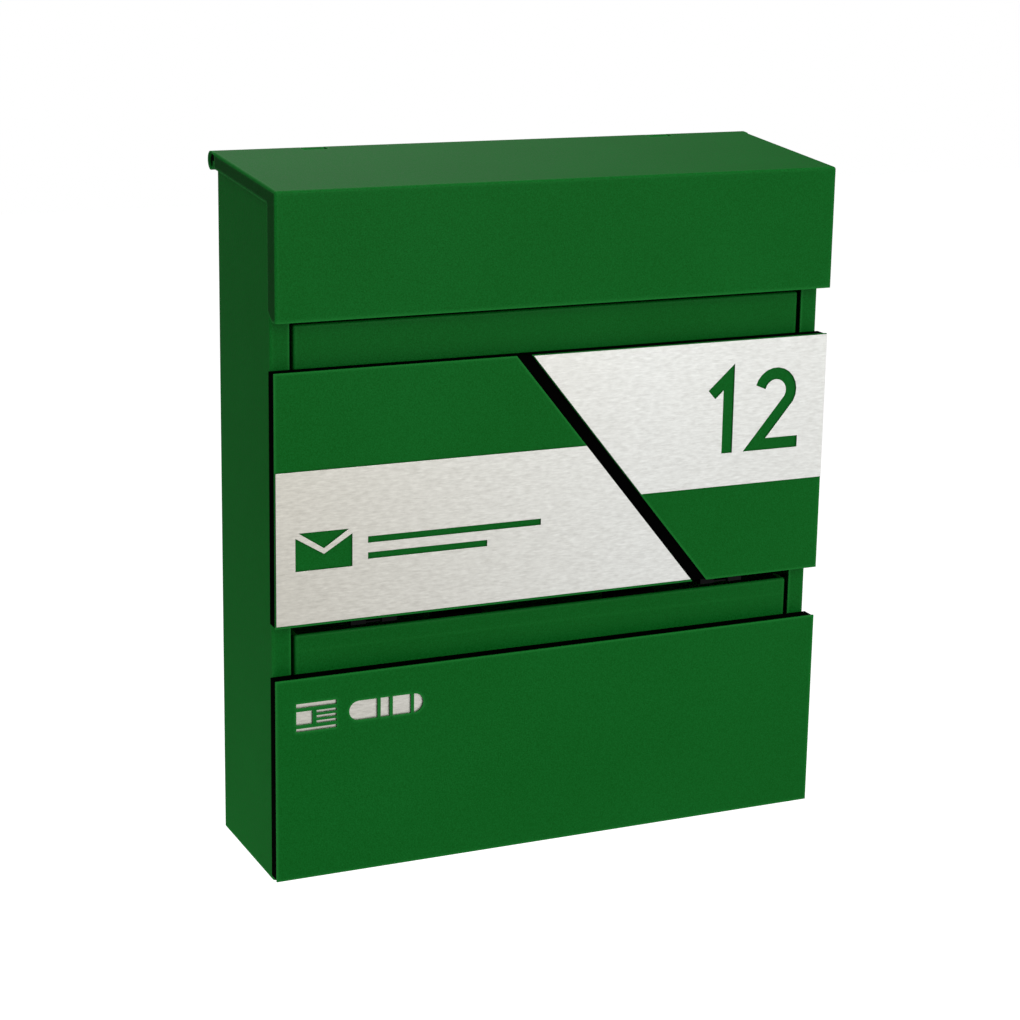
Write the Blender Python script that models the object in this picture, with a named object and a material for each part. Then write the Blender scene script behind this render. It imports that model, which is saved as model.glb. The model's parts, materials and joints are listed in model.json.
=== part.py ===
"""Wall mounted mailbox: a folded sheet-metal letter box with a newspaper compartment below it.

Frame: +X to the right, -Y out of the front, +Z up. The origin is the centre of the four wall spacers' rear
faces. Inside this file places are given as (x, depth, height): depth runs back from the front flanges and
height runs up from the underside of the floor.
"""
import math

import bmesh
import bpy
from mathutils import Matrix, Vector

# ---- driving dimensions, in metres ----
BODY_WIDTH = 0.3684
BODY_DEPTH = 0.097
WALL_DEPTH = 0.1125  # depth of the wall plane
ORIGIN_HEIGHT = 0.215
SHEET = 0.001
GAP = 0.0003  # between pieces that touch
HALF_WIDTH = BODY_WIDTH / 2
INNER_HALF = HALF_WIDTH - SHEET - GAP  # half width of what sits between the side panels
FLANGE_EDGE = 0.1724  # where the front flanges end

# lid
LID_FRONT = -0.014
LID_FRONT_HEIGHT = 0.4266
LID_HALF = 0.1856
ROOF_SLOPE = math.radians(4.5)
SKIRT_BOTTOM = 0.350
SKIRT_HEM = 0.004
RETURN_DROP = 0.0097  # how far the lid's side flanges hang below the roof
RETURN_EDGE = 0.0006  # depth of the skirt's side returns
CURL_RADIUS = 0.0058
CURL_DEPTH = 0.1055
CURL_SWEEP = math.radians(275)
ROD_RADIUS = 0.004
LID_HINGE_X = 0.120
LID_HINGE_WIDTH = 0.014
HINGE_NOTCH_DEPTH = 0.098
FLANGE_STOP = 0.007  # the lid's side flanges end this far before the hinge line
BRACKET_SHEET = 0.002
BRACKET_FOOT = (0.386, 0.420)
BRACKET_FOOT_HALF = 0.011
BUFFER_X = 0.150
BUFFER_RADIUS = 0.005
BUFFER_DEPTH = 0.014

# top of the body
SIDE_TOP_DROP = 0.006  # side panels end this far below the roof's upper face
TOP_FOLD = 0.010
FASCIA_BOTTOM = 0.3485
FASCIA_TOP = 0.4205
SLOT_HALF = 0.163
SLOT_BOTTOM = 0.384
SLOT_TOP = 0.414
FASCIA_HEM = 0.0083  # depth at which the fascia's lower edge fold ends
BACK_PANEL_TOP = 0.424
PLATE_LIP = 0.012  # rear lip of the floor and of the shelf
SHELF_FRONT = 0.012
DRAIN_RADIUS = 0.003
REAR_FLANGE = 0.010

# wall fixing
SPACER_X = 0.145
SPACER_RISE = 0.170
SPACER_RADIUS = 0.009
SCREW_HOLE_RADIUS = 0.0035

# doors
DOOR_HALF = 0.1698
MAIL_DOOR = (0.165, 0.346)  # bottom and top height
NEWS_FLAP = (0.0045, 0.156)
SHELF_HEIGHT = 0.158
MAIL_RETURN = 0.016
NEWS_RETURN = 0.012
FLAP_HEM = 0.002  # thickness of the flat hem along the flap's upper edge
CATCH_X = 0.060
CATCH_HALF = 0.015
CATCH_THICKNESS = 0.016
CATCH_BOTTOM = 0.148
FLAP_LIP_BOTTOM = 0.146
HINGE_DEPTH = -0.004
MAIL_HINGE_HEIGHT = 0.1655
NEWS_HINGE_HEIGHT = 0.0042
BUTT_HINGE_X = 0.120
KNUCKLE_RADIUS = 0.0023
KNUCKLE_BORE = 0.0014
PIN_RADIUS = 0.0011
PIN_HALF = 0.0154
MIDDLE_KNUCKLE_HALF = 0.0049
FIXED_LEAF_HALF = 0.015
LEAF_HALF = 0.014  # half width of the leaf on the door
FIXED_LEAF_BACK = 0.028
LEAF_RISE = 0.020  # top of that leaf above the hinge line
LEAF_ROOM = 0.0212  # height of the boards' hollows above the panels' lower edges
KNUCKLE_ROOM = 0.0037

# front panels
PANEL_HALF = 0.186
PANEL_FRONT = -0.011
BOARD_FRONT = -0.0097
MIDDLE_PANEL = (0.1648, 0.3201)
LOWER_PANEL = (0.0035, 0.1320)
EDGE_SET_BACK = 0.0004  # boards and steel plates stay this far inside the panels' edges
STEEL = 0.0008
NAME_TOP = 0.2605
NUMBER_BOTTOM = 0.2261
STEEL_BORDER = 0.0018
GROOVE_TOP_X = -0.026  # middle of the slanted groove at the panel's upper edge
GROOVE_BOTTOM_X = 0.0998
GROOVE_HALF = 0.005
PANEL_SCREW_X = 0.150
BOARD_HOLE_RADIUS = 0.0021
TRAY_HOLE_RADIUS = 0.0022

# lock
LOCK_HEIGHT = 0.363
LOCK_RADIUS = 0.008
LOCK_DEPTH = 0.010  # rear end of the barrel
COLLAR_RADIUS = 0.011
COLLAR_FRONT = -0.0012
NUT_RADIUS = 0.0125
NUT_THICKNESS = 0.003
ROTOR_RADIUS = 0.005
ROTOR_DEPTH = (-0.0015, 0.0103)
TAIL_HALF = 0.003  # square tail that carries the cam
TAIL_DEPTH = (0.009, 0.0124)
KEYWAY_HALF = 0.0006
KEYWAY_RISE = 0.0035
KEYWAY_DEPTH = 0.0015
CAM_LENGTH = 0.026
CAM_HALF = 0.006
CAM_DEPTH = (0.0106, 0.0126)
CAM_SCREW_RADIUS = 0.0016
CAM_SCREW_HEAD = 0.0045
CAM_SCREW_REACH = 0.0073  # depth of the screw's tip

# screws that hold the boards
SCREW_RADIUS = 0.0018
SCREW_HEAD_RADIUS = 0.004
SCREW_HEAD = 0.002  # thickness of the heads
SCREW_TIP = -0.006
THROUGH = 0.02  # length of a cutter that goes right through a sheet

ROUND_STEPS = 24


# ---- frame and materials ----
def place(x, depth, height):
    """A point of the frame from its distances across, back and up."""
    return Vector((x, depth - WALL_DEPTH, height - ORIGIN_HEIGHT))


def finish(name, colour, roughness, metallic):
    """A plain Principled material."""
    material = bpy.data.materials.new(name)
    material.use_nodes = True
    shader = material.node_tree.nodes["Principled BSDF"]
    shader.inputs["Base Color"].default_value = (*colour, 1.0)
    shader.inputs["Roughness"].default_value = roughness
    shader.inputs["Metallic"].default_value = metallic
    return material


# ---- modelling tools ----
def make_object(name, mesh_builder, material):
    mesh = bpy.data.meshes.new(name)
    bmesh.ops.recalc_face_normals(mesh_builder, faces=mesh_builder.faces)
    mesh_builder.to_mesh(mesh)
    mesh_builder.free()
    mesh.materials.append(material)
    made = bpy.data.objects.new(name, mesh)
    bpy.context.scene.collection.objects.link(made)
    return made


def prism(name, corners, reach, material):
    """A solid from a flat outline of frame points, pushed along the vector reach."""
    builder = bmesh.new()
    base = builder.faces.new([builder.verts.new(corner) for corner in corners])
    pushed = bmesh.ops.extrude_face_region(builder, geom=[base])
    tips = [item for item in pushed["geom"] if isinstance(item, bmesh.types.BMVert)]
    bmesh.ops.translate(builder, verts=tips, vec=reach)
    return make_object(name, builder, material)


def profile(name, outline, left, right, material):
    """A side profile of (depth, height) points, drawn across the object."""
    corners = [place(left, depth, height) for depth, height in outline]
    return prism(name, corners, Vector((right - left, 0, 0)), material)


def plate(name, outline, front, back, material):
    """A front outline of (x, height) points, given its thickness in depth."""
    corners = [place(x, front, height) for x, height in outline]
    return prism(name, corners, Vector((0, back - front, 0)), material)


def block(name, x, depth, height, material):
    """A box between two values each way."""
    outline = [(x[0], height[0]), (x[1], height[0]), (x[1], height[1]), (x[0], height[1])]
    return plate(name, outline, depth[0], depth[1], material)


def rod(name, centre, radius, axis, length, material, steps=ROUND_STEPS):
    """A round bar about its centre along X, Y or Z."""
    builder = bmesh.new()
    turn = {"X": Matrix.Rotation(math.pi / 2, 4, "Y"), "Y": Matrix.Rotation(math.pi / 2, 4, "X")}
    matrix = Matrix.Translation(centre) @ turn.get(axis, Matrix.Identity(4))
    bmesh.ops.create_cone(
        builder, cap_ends=True, segments=steps, radius1=radius, radius2=radius, depth=length, matrix=matrix
    )
    made = make_object(name, builder, material)
    made.data.shade_smooth()
    made.data.set_sharp_from_angle(angle=math.radians(40))
    return made


def turned(name, x, height, radius, depth, material, steps=16):
    """A round bar that runs back between two depths."""
    centre = place(x, (depth[0] + depth[1]) / 2, height)
    return rod(name, centre, radius, "Y", depth[1] - depth[0], material, steps)


def combine(target, tool, operation):
    """Applies one Boolean to target and removes the tool."""
    step = target.modifiers.new("combine", "BOOLEAN")
    step.operation = operation
    step.object = tool
    step.solver = "EXACT"
    graph = bpy.context.evaluated_depsgraph_get()
    result = bpy.data.meshes.new_from_object(target.evaluated_get(graph))
    target.modifiers.clear()
    target.data = result
    bpy.data.objects.remove(tool)
    return target


def join(target, *others):
    for other in others:
        combine(target, other, "UNION")
    return target


def cut(target, *tools):
    for tool in tools:
        combine(target, tool, "DIFFERENCE")
    return target


def mirrored(x, sign):
    """An (inner, outer) pair of x values on the chosen side, in rising order."""
    return tuple(sorted(sign * value for value in x))


def axis_point(name, x, depth, height):
    """An empty on a joint's axis, which carries the pieces that turn about it."""
    empty = bpy.data.objects.new(name, None)
    empty.location = place(x, depth, height)
    bpy.context.scene.collection.objects.link(empty)
    return empty


def carry(empty, *pieces):
    """Hangs pieces on an axis empty and moves their origins onto it."""
    for piece in pieces:
        piece.data.transform(Matrix.Translation(-empty.location))
        piece.parent = empty


def roof_height(depth):
    """Height of the roof's upper face."""
    return LID_FRONT_HEIGHT + math.tan(ROOF_SLOPE) * (depth - LID_FRONT)


def arc(centre, radius, start, sweep, steps):
    """Points of an arc in a (depth, height) or (x, height) plane."""
    turns = [start + sweep * step / steps for step in range(steps + 1)]
    return [(centre[0] + radius * math.cos(a), centre[1] + radius * math.sin(a)) for a in turns]


CURL_HEIGHT = roof_height(CURL_DEPTH) - CURL_RADIUS / math.cos(ROOF_SLOPE)


# ---- body ----
def side_panel(name, sign, material):
    """Side wall with a front flange and a narrow rear flange; its top follows the roof."""
    rear_flange_edge = HALF_WIDTH - REAR_FLANGE
    plan = [
        (FLANGE_EDGE, 0),
        (HALF_WIDTH, 0),
        (HALF_WIDTH, BODY_DEPTH),
        (rear_flange_edge, BODY_DEPTH),
        (rear_flange_edge, BODY_DEPTH - SHEET),
        (HALF_WIDTH - SHEET, BODY_DEPTH - SHEET),
        (HALF_WIDTH - SHEET, SHEET),
        (FLANGE_EDGE, SHEET),
    ]
    corners = [place(sign * x, depth, 0) for x, depth in plan]
    made = prism(name, corners, Vector((0, 0, SHEET)), material)
    floor_z = place(0, 0, 0).z
    for vertex in made.data.vertices:
        if vertex.co.z > floor_z + SHEET / 2:
            depth = vertex.co.y + WALL_DEPTH
            vertex.co.z = place(0, 0, roof_height(depth) - SIDE_TOP_DROP).z
    return made


def spacer_places():
    return [
        (side * SPACER_X, ORIGIN_HEIGHT + rise * SPACER_RISE, f"{level}_{hand}")
        for rise, level in ((1, "upper"), (-1, "lower"))
        for side, hand in ((-1, "left"), (1, "right"))
    ]


def back_panel(material):
    front = BODY_DEPTH - SHEET - GAP - SHEET
    made = block("back_panel", (-INNER_HALF, INNER_HALF), (front, front + SHEET), (0, BACK_PANEL_TOP), material)
    for x, height, _ in spacer_places():
        hole_depth = (front - THROUGH, front + THROUGH)
        cut(made, turned("hole", x, height, SCREW_HOLE_RADIUS, hole_depth, material, ROUND_STEPS))
    return made


BACK_FACE = BODY_DEPTH - SHEET - GAP  # rear face of the back panel
CLEAR_BACK = BACK_FACE - SHEET - GAP  # how far back the inner plates reach


def floor_plate(material):
    outline = [
        (SHEET + GAP, 0),
        (CLEAR_BACK, 0),
        (CLEAR_BACK, PLATE_LIP),
        (CLEAR_BACK - SHEET, PLATE_LIP),
        (CLEAR_BACK - SHEET, SHEET),
        (SHEET + GAP, SHEET),
    ]
    made = profile("floor_plate", outline, -INNER_HALF, INNER_HALF, material)
    for x in (-LID_HINGE_X, 0, LID_HINGE_X):
        cut(made, rod("drain", place(x, BODY_DEPTH / 2, 0), DRAIN_RADIUS, "Z", THROUGH, material))
    return made


def partition_shelf(material):
    outline = [
        (SHELF_FRONT, SHELF_HEIGHT),
        (CLEAR_BACK, SHELF_HEIGHT),
        (CLEAR_BACK, SHELF_HEIGHT + PLATE_LIP),
        (CLEAR_BACK - SHEET, SHELF_HEIGHT + PLATE_LIP),
        (CLEAR_BACK - SHEET, SHELF_HEIGHT + SHEET),
        (SHELF_FRONT, SHELF_HEIGHT + SHEET),
    ]
    return profile("partition_shelf", outline, -INNER_HALF, INNER_HALF, material)


def top_height(depth):
    """Height of the top plate's upper face, just under the side panels' edges."""
    return roof_height(depth) - SIDE_TOP_DROP - GAP


def top_plate(material):
    front = 2 * (SHEET + GAP)
    back = CLEAR_BACK
    outline = [
        (front, top_height(front) - TOP_FOLD),
        (front, top_height(front)),
        (back, top_height(back)),
        (back, top_height(back) - TOP_FOLD),
        (back - SHEET, top_height(back) - TOP_FOLD),
        (back - SHEET, top_height(back - SHEET) - SHEET),
        (front + SHEET, top_height(front + SHEET) - SHEET),
        (front + SHEET, top_height(front) - TOP_FOLD),
    ]
    return profile("top_plate", outline, -INNER_HALF, INNER_HALF, material)


def front_fascia(material):
    """Fixed strip behind the lid's skirt with the letter slot and the lock hole."""
    front = SHEET + GAP
    back = front + SHEET
    made = block("front_fascia", (-INNER_HALF, INNER_HALF), (front, back), (FASCIA_BOTTOM, FASCIA_TOP), material)
    hem = block("hem", (-DOOR_HALF, DOOR_HALF), (front, FASCIA_HEM), (FASCIA_BOTTOM, FASCIA_BOTTOM + SHEET), material)
    join(made, hem)
    slot = block("slot", (-SLOT_HALF, SLOT_HALF), (-THROUGH, THROUGH), (SLOT_BOTTOM, SLOT_TOP), material)
    lock_hole = turned("lock_hole", 0, LOCK_HEIGHT, LOCK_RADIUS + GAP, (-THROUGH, THROUGH), material, ROUND_STEPS)
    return cut(made, slot, lock_hole)


def wall_spacer(name, x, height, material):
    front = BACK_FACE + GAP
    length = WALL_DEPTH - front
    centre = place(x, front + length / 2, height)
    made = rod(name, centre, SPACER_RADIUS, "Y", length, material)
    return cut(made, rod("bore", centre, SCREW_HOLE_RADIUS, "Y", 2 * length, material))


def lid_hinge_bracket(name, x, material):
    """Foot on the back panel and an eye round the lid's rod."""
    front = BACK_FACE + GAP
    half = LID_HINGE_WIDTH / 2
    foot_x = (x - BRACKET_FOOT_HALF, x + BRACKET_FOOT_HALF)
    foot = block(name, foot_x, (front, front + BRACKET_SHEET), BRACKET_FOOT, material)
    web_bottom = BRACKET_FOOT[1] - 0.010
    web_outline = [
        (front, web_bottom),
        (front + BRACKET_SHEET, web_bottom),
        (CURL_DEPTH + 0.0045, CURL_HEIGHT - 0.0036),
        (CURL_DEPTH, CURL_HEIGHT),
        (CURL_DEPTH - 0.0045, CURL_HEIGHT + 0.0030),
        (front, BACK_PANEL_TOP),
    ]
    web = profile("web", web_outline, x - half, x + half, material)
    eye = rod("eye", place(x, CURL_DEPTH, CURL_HEIGHT), CURL_RADIUS, "X", 2 * half, material)
    join(foot, web, eye)
    return cut(foot, rod("bore", place(x, CURL_DEPTH, CURL_HEIGHT), ROD_RADIUS + GAP, "X", 0.04, material))


def lid_buffer(name, x, material):
    """Rubber stop between the top plate and the lid, square to the slope."""
    gap_height = SIDE_TOP_DROP + GAP - SHEET
    length = gap_height * math.cos(ROOF_SLOPE) - 2 * GAP
    made = rod(name, Vector((0, 0, 0)), BUFFER_RADIUS, "Z", length, material, steps=16)
    lid_underside = roof_height(BUFFER_DEPTH) - SHEET / math.cos(ROOF_SLOPE)
    middle = (lid_underside + top_height(BUFFER_DEPTH)) / 2
    made.location = place(x, BUFFER_DEPTH, middle)
    made.rotation_euler.x = ROOF_SLOPE
    return made


def magnet_catch(name, x, material):
    """Magnet block under the shelf, right behind the flap's upper hem."""
    front = FLAP_HEM + GAP
    catch_x = (x - CATCH_HALF, x + CATCH_HALF)
    return block(name, catch_x, (front, front + CATCH_THICKNESS), (CATCH_BOTTOM, SHELF_HEIGHT - GAP), material)


# ---- lid ----
def lid_shell(material):
    """Roof, skirt and rolled rear edge in one folded sheet, with side flanges."""
    centre = (CURL_DEPTH, CURL_HEIGHT)
    start = math.pi / 2 + ROOF_SLOPE
    outer_curl = arc(centre, CURL_RADIUS, start, -CURL_SWEEP, 22)
    inner_curl = arc(centre, CURL_RADIUS - SHEET, start, -CURL_SWEEP, 22)
    inner_front = LID_FRONT + SHEET
    outline = [(LID_FRONT, SKIRT_BOTTOM), (LID_FRONT, LID_FRONT_HEIGHT)]
    outline += outer_curl
    outline += reversed(inner_curl)
    outline += [
        (inner_front, roof_height(inner_front) - SHEET / math.cos(ROOF_SLOPE)),
        (inner_front, SKIRT_BOTTOM + SHEET),
        (LID_FRONT + SKIRT_HEM, SKIRT_BOTTOM + SHEET),
        (LID_FRONT + SKIRT_HEM, SKIRT_BOTTOM),
    ]
    made = profile("lid_shell", outline, -LID_HALF, LID_HALF, material)
    flange_end = CURL_DEPTH - FLANGE_STOP
    flange = [
        (LID_FRONT, SKIRT_BOTTOM),
        (LID_FRONT, LID_FRONT_HEIGHT),
        (flange_end, roof_height(flange_end)),
        (flange_end, roof_height(flange_end) - RETURN_DROP),
        (RETURN_EDGE, roof_height(RETURN_EDGE) - RETURN_DROP),
        (RETURN_EDGE, SKIRT_BOTTOM + 0.005),
        (LID_FRONT + 0.007, SKIRT_BOTTOM),
    ]
    for sign in (-1, 1):
        left, right = mirrored((LID_HALF - SHEET, LID_HALF), sign)
        join(made, profile("flange", flange, left, right, material))
    notch_half = LID_HINGE_WIDTH / 2 + SHEET
    for x in (-LID_HINGE_X, LID_HINGE_X):
        notch = block("notch", (x - notch_half, x + notch_half), (HINGE_NOTCH_DEPTH, 0.12), (0.42, 0.45), material)
        cut(made, notch)
    return made


# ---- doors ----
def tray(name, heights, returns, material):
    """A flat door skin with its four edges folded back."""
    bottom, top = heights
    made = block(name, (-DOOR_HALF, DOOR_HALF), (0, returns), (bottom, top), material)
    inner_x = DOOR_HALF - SHEET
    hollow = block("hollow", (-inner_x, inner_x), (SHEET, 0.05), (bottom + SHEET, top - SHEET), material)
    return cut(made, hollow)


def screw_places(heights):
    return [(side * PANEL_SCREW_X, height) for height in heights for side in (-1, 1)]


MIDDLE_SCREWS = screw_places((0.205, 0.300))
LOWER_SCREWS = screw_places((0.030, 0.085))


def drill(piece, places, radius, depth, material):
    """Round holes through depth = (front, back) at each (x, height)."""
    for x, height in places:
        cut(piece, turned("hole", x, height, radius, depth, material))
    return piece


def mail_door_tray(material):
    made = tray("mail_door_tray", MAIL_DOOR, MAIL_RETURN, material)
    slot_x = (-CAM_HALF - 0.003, CAM_LENGTH + 0.002)
    slot_depth = (CAM_DEPTH[0] - 0.0012, CAM_DEPTH[1] + 0.0012)
    slot = block("cam_slot", slot_x, slot_depth, (MAIL_DOOR[1] - 0.01, MAIL_DOOR[1] + 0.01), material)
    cut(made, slot)
    return drill(made, MIDDLE_SCREWS, TRAY_HOLE_RADIUS, (-0.005, 0.005), material)


def newspaper_flap_tray(material):
    made = tray("newspaper_flap_tray", NEWS_FLAP, NEWS_RETURN, material)
    inner_x = DOOR_HALF - SHEET
    top = (NEWS_FLAP[1] - 1.5 * SHEET, NEWS_FLAP[1] + SHEET)
    cut(made, block("top_relief", (-inner_x, inner_x), (FLAP_HEM, THROUGH), top, material))
    lip_x = DOOR_HALF - SHEET / 2
    lip_depth = (SHEET / 2, FLAP_HEM)
    lip = block("lip", (-lip_x, lip_x), lip_depth, (FLAP_LIP_BOTTOM, NEWS_FLAP[1] - SHEET / 2), material)
    join(made, lip)
    return drill(made, LOWER_SCREWS, TRAY_HOLE_RADIUS, (-0.005, 0.005), material)


def knuckle(x, hinge_height, material):
    centre = place((x[0] + x[1]) / 2, HINGE_DEPTH, hinge_height)
    return rod("knuckle", centre, KNUCKLE_RADIUS, "X", x[1] - x[0], material, steps=16)


def hinge_bore(x, hinge_height, material):
    centre = place(x, HINGE_DEPTH, hinge_height)
    return rod("bore", centre, KNUCKLE_BORE, "X", 0.05, material, steps=16)


def fixed_leaf(name, x, hinge_height, seat_height, material):
    """Hinge half on the body: it lies on its seat, rises behind the panel and ends in two knuckles."""
    half = FIXED_LEAF_HALF
    split = MIDDLE_KNUCKLE_HALF + GAP
    riser = (HINGE_DEPTH + PIN_RADIUS, HINGE_DEPTH + PIN_RADIUS + SHEET)
    riser_top = hinge_height - 0.0004  # just inside the knuckle
    made = block(name, (x - half, x + half), (riser[0], FIXED_LEAF_BACK), (seat_height, seat_height + SHEET), material)
    ends = ((x - half, x - split), (x + split, x + half))
    for end in ends:
        join(made, block("riser", end, riser, (seat_height, riser_top), material))
        join(made, knuckle(end, hinge_height, material))
    notch_height = (seat_height - SHEET, hinge_height)
    notch = block("notch", (x - split, x + split), (-THROUGH, -SHEET), notch_height, material)
    return cut(made, notch, hinge_bore(x, hinge_height, material))


def moving_leaf(name, x, hinge_height, material):
    """Hinge half on the door: one knuckle and a leaf on the tray's front face."""
    barrel = (x - MIDDLE_KNUCKLE_HALF, x + MIDDLE_KNUCKLE_HALF)
    leaf_depth = (-GAP - SHEET, -GAP)
    leaf_height = (hinge_height + SHEET, hinge_height + LEAF_RISE)
    made = block(name, (x - LEAF_HALF, x + LEAF_HALF), leaf_depth, leaf_height, material)
    bridge_height = (hinge_height + SHEET, hinge_height + KNUCKLE_RADIUS - 0.0001)
    bridge = block("bridge", barrel, (HINGE_DEPTH, -GAP), bridge_height, material)
    join(made, bridge, knuckle(barrel, hinge_height, material))
    return cut(made, hinge_bore(x, hinge_height, material))


def hinge_pin(name, x, hinge_height, material):
    return rod(name, place(x, HINGE_DEPTH, hinge_height), PIN_RADIUS, "X", 2 * PIN_HALF, material, steps=16)


# ---- front panels ----
def spacer_board(name, panel, screws, material):
    """Black board between a tray and its front panel, hollowed behind for hinge leaves and screws."""
    half = PANEL_HALF - EDGE_SET_BACK
    heights = (panel[0] + EDGE_SET_BACK, panel[1] - EDGE_SET_BACK)
    made = block(name, (-half, half), (BOARD_FRONT, -GAP), heights, material)
    for x in (-BUTT_HINGE_X, BUTT_HINGE_X):
        leaf_x = (x - LEAF_HALF - 2 * GAP, x + LEAF_HALF + 2 * GAP)
        knuckle_x = (x - PIN_HALF - GAP, x + PIN_HALF + GAP)
        leaf_top = panel[0] + LEAF_ROOM
        knuckle_top = panel[0] + KNUCKLE_ROOM
        knuckle_front = HINGE_DEPTH - KNUCKLE_RADIUS - GAP
        cut(made, block("leaf_room", leaf_x, (-GAP - SHEET - GAP, 0.005), (0, leaf_top), material))
        cut(made, block("knuckle_room", knuckle_x, (knuckle_front, 0.005), (0, knuckle_top), material))
    return drill(made, screws, BOARD_HOLE_RADIUS, (-0.0066, 0.005), material)


def groove_x(height, side):
    """Edge of the slanted groove at a height; side is -1 for its left edge and 1 for its right."""
    rise = (height - MIDDLE_PANEL[0]) / (MIDDLE_PANEL[1] - MIDDLE_PANEL[0])
    return GROOVE_BOTTOM_X + (GROOVE_TOP_X - GROOVE_BOTTOM_X) * rise + side * GROOVE_HALF


def slanted_plate(name, side, bottom, top, front, thickness, inset, material):
    """A plate that runs from one end of the panel to the slanted groove."""
    outer = side * (PANEL_HALF - inset)
    groove_shift = side * inset
    outline = [
        (outer, bottom),
        (groove_x(bottom, side) + groove_shift, bottom),
        (groove_x(top, side) + groove_shift, top),
        (outer, top),
    ]
    return plate(name, outline, front, front + thickness, material)


def stroke(points, width):
    """Outline of a pen stroke of one width along a line of (x, height) points, with mitred corners."""
    line = [Vector(point) for point in points]
    sides = ([], [])
    for index, point in enumerate(line):
        before = (point - line[index - 1]).normalized() if index else None
        after = (line[index + 1] - point).normalized() if index + 1 < len(line) else None
        before = before or after
        after = after or before
        along = (before + after).normalized()
        across = Vector((-along.y, along.x))
        reach = width / 2 / max(across.dot(Vector((-before.y, before.x))), 0.3)
        sides[0].append(tuple(point + across * reach))
        sides[1].append(tuple(point - across * reach))
    return sides[0] + sides[1][::-1]


def house_number_outlines():
    """Plain numerals one and two, drawn with one stroke width."""
    width = 0.0075
    bottom = 0.2475
    top = 0.3005
    middle = width / 2
    one = [(0.1035, top - 0.0145), (0.1155, top - middle), (0.1155, bottom)]
    bow = (0.1495, top - 0.0150)
    two = arc(bow, 0.0150 - middle, math.radians(165), math.radians(-195), 12)
    two += [(0.1352, bottom + middle), (0.1665, bottom + middle)]
    return [stroke(one, width), stroke(two, width)]


def letter_outlines():
    """An envelope in two cut-outs and two ruled lines beside it."""
    left = -0.1735
    bottom = 0.1995
    width = 0.036
    height = 0.0235
    fold = bottom + 0.0095
    body = [(left, bottom), (left + width, bottom), (left + width, bottom + height - 0.003)]
    body += [(left + width / 2, fold), (left, bottom + height - 0.003)]
    cover = [(left + 0.002, bottom + height), (left + width / 2, fold + 0.0035)]
    cover += [(left + width - 0.002, bottom + height)]
    lines = []
    for base, length in ((bottom + 0.0135, 0.114), (bottom + 0.0035, 0.078)):
        start = left + width + 0.010
        lines.append([(start, base), (start + length, base), (start + length, base + 0.004), (start, base + 0.004)])
    return [body, cover, *lines]


def rectangle(left, bottom, width, height):
    return [(left, bottom), (left + width, bottom), (left + width, bottom + height), (left, bottom + height)]


def newspaper_outlines():
    """A front page made of bars, and a rolled paper with its band left standing."""
    left = -0.1730
    bottom = 0.0985
    bars = [
        rectangle(left, bottom + 0.0150, 0.0260, 0.0028),
        rectangle(left, bottom + 0.0042, 0.0105, 0.0086),
        rectangle(left + 0.0130, bottom + 0.0108, 0.0130, 0.0018),
        rectangle(left + 0.0130, bottom + 0.0075, 0.0130, 0.0018),
        rectangle(left + 0.0130, bottom + 0.0042, 0.0130, 0.0018),
        rectangle(left, bottom, 0.0260, 0.0020),
    ]
    roll_left = left + 0.0340
    roll_middle = bottom + 0.0089
    radius = 0.0062
    cap = arc((roll_left + radius, roll_middle), radius, math.radians(90), math.radians(180), 10)
    first = cap + [(roll_left + 0.0185, roll_middle - radius), (roll_left + 0.0185, roll_middle + radius)]
    second = rectangle(roll_left + 0.0205, roll_middle - radius, 0.0060, 2 * radius)
    third = rectangle(roll_left + 0.0285, roll_middle - radius, 0.0120, 2 * radius)
    end = arc((roll_left + 0.0425, roll_middle), radius, math.radians(-90), math.radians(180), 10)
    return bars + [first, second, third, end]


def stencil(piece, outlines, front, back, material):
    """Cuts outlines right through a plate."""
    for outline in outlines:
        cut(piece, plate("cut_out", outline, front - 0.002, back + 0.002, material))
    return piece


def name_plate(material):
    front = PANEL_FRONT - GAP - STEEL
    made = slanted_plate(
        "name_plate", -1, MIDDLE_PANEL[0] + STEEL_BORDER, NAME_TOP, front, STEEL, EDGE_SET_BACK, material
    )
    return stencil(made, letter_outlines(), front, front + STEEL, material)


def number_plate(material):
    front = PANEL_FRONT - GAP - STEEL
    top = MIDDLE_PANEL[1] - EDGE_SET_BACK
    made = slanted_plate("number_plate", 1, NUMBER_BOTTOM, top, front, STEEL, EDGE_SET_BACK, material)
    return stencil(made, house_number_outlines(), front, front + STEEL, material)


BACKING_X = (-0.1765, -0.0855)
BACKING_HEIGHT = (0.0945, 0.1205)


def newspaper_panel(material):
    made = block("newspaper_panel", (-PANEL_HALF, PANEL_HALF), (PANEL_FRONT, PANEL_FRONT + SHEET), LOWER_PANEL, material)
    return stencil(made, newspaper_outlines(), PANEL_FRONT, PANEL_FRONT + SHEET, material)


def lower_board(material):
    made = spacer_board("lower_spacer_board", LOWER_PANEL, LOWER_SCREWS, material)
    room_x = (BACKING_X[0] - GAP, BACKING_X[1] + GAP)
    room_height = (BACKING_HEIGHT[0] - GAP, BACKING_HEIGHT[1] + GAP)
    return cut(made, block("room", room_x, (-0.02, BOARD_FRONT + STEEL + GAP), room_height, material))


def panel_screw(name, x, height, material):
    """Pan head inside the tray, shank into the board."""
    seat = SHEET + GAP
    head = turned(name, x, height, SCREW_HEAD_RADIUS, (seat, seat + SCREW_HEAD), material)
    shank = turned("shank", x, height, SCREW_RADIUS, (SCREW_TIP, seat + SCREW_HEAD / 2), material)
    return join(head, shank)


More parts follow.
